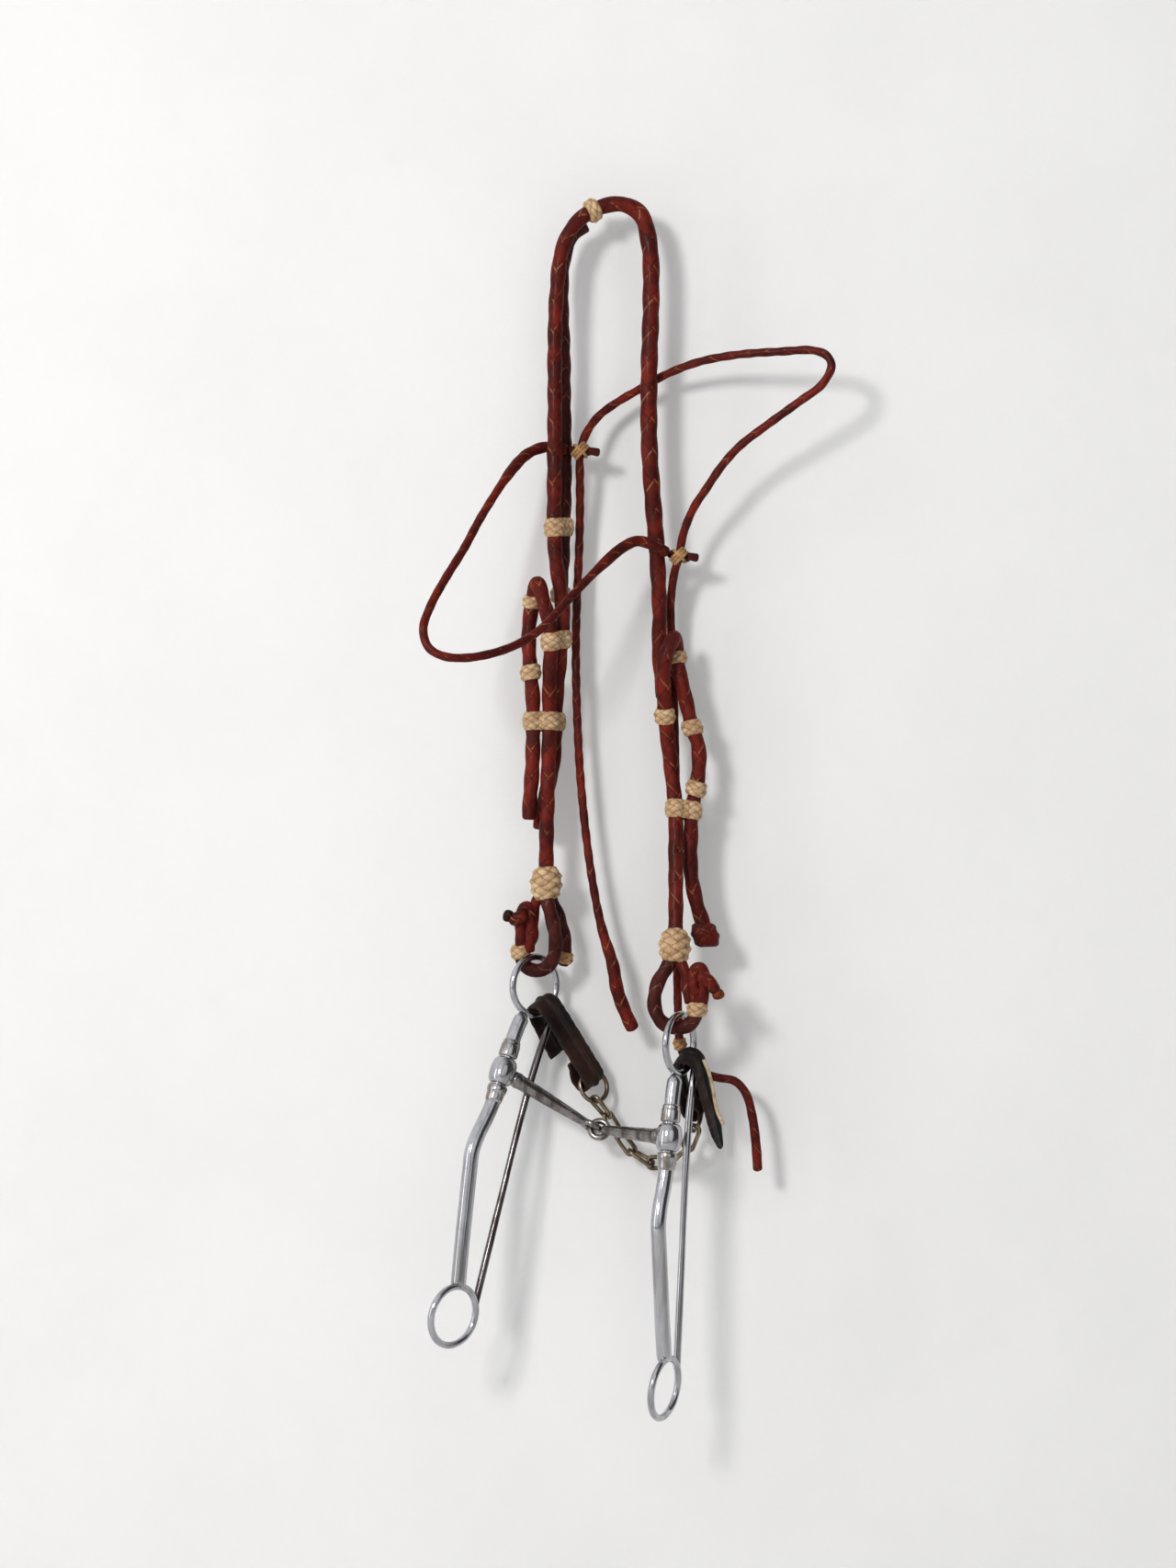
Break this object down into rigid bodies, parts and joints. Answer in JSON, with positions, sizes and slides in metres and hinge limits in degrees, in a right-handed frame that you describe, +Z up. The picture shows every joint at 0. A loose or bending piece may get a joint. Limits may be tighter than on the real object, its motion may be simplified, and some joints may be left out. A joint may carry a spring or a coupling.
{
  "type": "braided leather headstall with shanked curb bit",
  "caption": "Round-braided leather headstall with browband, throatlatch and rawhide knots, hung up with a jointed shanked curb bit and its leather and chain curb strap.",
  "frame": {"origin": "the point under the crown's arch where a nail or hook carries the headstall", "axes": "+Z up along the hanging headstall, +X to its right and +Y towards the wall behind it"},
  "size_m": [0.2221, 0.102, 0.6602],
  "materials": {
    "braided_leather": "worn satin",
    "rawhide": "dry matte",
    "strap_leather": "worn satin",
    "bit_steel": "worn polish",
    "chain_steel": "stained"
  },
  "bodies": {
    "headstall": {"crown_rope": "braided_leather", "crown_lining_strand": "braided_leather", "left_cheek_rope": "braided_leather", "right_cheek_rope": "braided_leather", "browband": "braided_leather", "throatlatch": "braided_leather", "right_stopper_knot": "braided_leather", "browband_left_eye": "braided_leather", "browband_right_eye": "braided_leather", "left_bit_loop": "braided_leather", "left_loop_leg": "braided_leather", "left_loop_button": "braided_leather", "left_loop_back_strand": "braided_leather", "right_bit_loop": "braided_leather", "right_loop_leg": "braided_leather", "right_loop_button": "braided_leather", "crown_top_knot": "rawhide", "crown_end_knot": "rawhide", "left_bight_knot": "rawhide", "left_tail_knot": "rawhide", "right_bight_knot": "rawhide", "right_upper_tail_knot": "rawhide", "right_lower_tail_knot": "rawhide", "right_cheek_knot": "rawhide", "left_upper_keeper": "rawhide", "left_button_knot": "rawhide", "right_button_knot": "rawhide", "browband_left_knot": "rawhide", "browband_right_knot": "rawhide", "left_loop_knot": "rawhide", "right_loop_knot": "rawhide"},
    "crown_keeper_body": {"crown_keeper": "rawhide"},
    "left_keeper_body": {"left_wide_keeper": "rawhide"},
    "right_keeper_body": {"right_wide_keeper": "rawhide"},
    "left_bar": {"mouthpiece_left": "bit_steel"},
    "left_shank": {"left_cheek_ring": "bit_steel", "left_rein_ring": "bit_steel", "left_shank_tube": "bit_steel", "left_guard_rod": "bit_steel", "left_upper_collar": "bit_steel", "left_lower_collar": "bit_steel"},
    "right_bar": {"mouthpiece_right": "bit_steel"},
    "right_shank": {"right_cheek_ring": "bit_steel", "right_rein_ring": "bit_steel", "right_shank_tube": "bit_steel", "right_guard_rod": "bit_steel", "right_upper_collar": "bit_steel", "right_lower_collar": "bit_steel"},
    "curb": {"left_curb_strap": "strap_leather", "right_curb_strap": "strap_leather", "left_curb_ring": "chain_steel", "right_curb_ring": "chain_steel", "curb_lace": "rawhide"},
    "chain": {"chain_link_1": "chain_steel", "chain_link_2": "chain_steel", "chain_link_3": "chain_steel", "chain_link_4": "chain_steel", "chain_link_5": "chain_steel", "chain_link_6": "chain_steel", "chain_link_7": "chain_steel"}
  },
  "joints": [
    {"name": "bit_swing", "type": "hinge", "parent": "headstall", "child": "left_bar", "pos_m": [-0.03904, 0.00445, -0.4046], "axis": [0.8907, -0.3048, -0.3372], "range_deg": [-20, 2]},
    {"name": "left_shank_turn", "type": "hinge", "parent": "left_bar", "child": "left_shank", "pos_m": [-0.0562, -0.011, -0.4641], "axis": [0.2963, 0.2668, 0.9171], "range_deg": [-2, 4]},
    {"name": "mouth_fold", "type": "hinge", "parent": "left_bar", "child": "right_bar", "pos_m": [-0.006, 0.007, -0.4962], "axis": [0.5525, -0.3576, 0.7529], "range_deg": [-1.5, 3]},
    {"name": "right_shank_turn", "type": "hinge", "parent": "right_bar", "child": "right_shank", "pos_m": [0.0333, -0.033, -0.4978], "axis": [0.0911, 0.1578, 0.9833], "range_deg": [-1.5, 4]},
    {"name": "curb_swing", "type": "hinge", "parent": "left_bar", "child": "curb", "pos_m": [-0.03344, 0.00949, -0.43241], "axis": [0.9089, -0.2656, -0.3214], "range_deg": [0, 6]},
    {"name": "chain_swing", "type": "hinge", "parent": "curb", "child": "chain", "pos_m": [-0.0056, 0.01154, -0.48227], "axis": [0.9578, -0.0618, -0.2806], "range_deg": [-3, 5]},
    {"name": "crown_keeper_slide", "type": "slide", "parent": "headstall", "child": "crown_keeper_body", "axis": [0.0226, 0.0706, 0.9972], "range_m": [-0.003, 0.003]},
    {"name": "left_keeper_slide", "type": "slide", "parent": "headstall", "child": "left_keeper_body", "axis": [0.0188, -0.0344, 0.9992], "range_m": [-0.004, 0.004]},
    {"name": "right_keeper_slide", "type": "slide", "parent": "headstall", "child": "right_keeper_body", "axis": [0.0337, 0.0642, 0.9974], "range_m": [-0.004, 0.001]}
  ]
}
